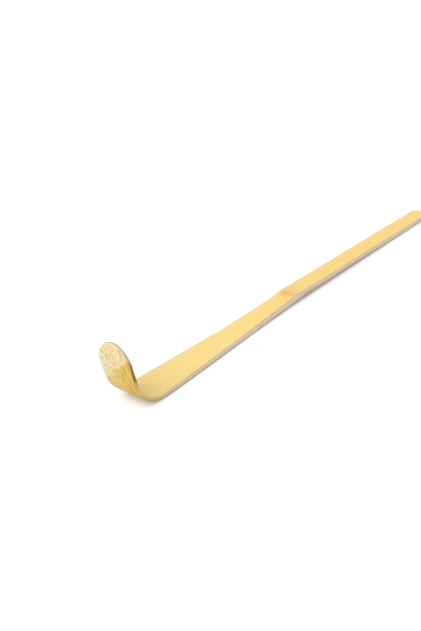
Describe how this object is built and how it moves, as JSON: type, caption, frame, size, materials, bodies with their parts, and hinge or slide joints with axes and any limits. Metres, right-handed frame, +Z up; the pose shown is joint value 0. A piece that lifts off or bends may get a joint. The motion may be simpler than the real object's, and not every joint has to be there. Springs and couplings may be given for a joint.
{
  "type": "bamboo tea scoop",
  "caption": "Slender hand-carved bamboo scoop with a node at mid-handle and a wide, up-curled tip for lifting powdered tea.",
  "frame": {"origin": "on the plane that the scoop lies on, under the middle of its overall length and width", "axes": "+X along the handle from the cut end towards the scoop, +Y across the handle, +Z up, away from the table; -Z is the normal of the planed underside"},
  "size_m": [0.168, 0.0116, 0.0232],
  "materials": {
    "bamboo": "dried white bamboo, scraped and hand-polished to a soft satin, skin side smooth and flesh side finely grained"
  },
  "bodies": {
    "root": {"tea_scoop": "bamboo"}
  },
  "joints": []
}
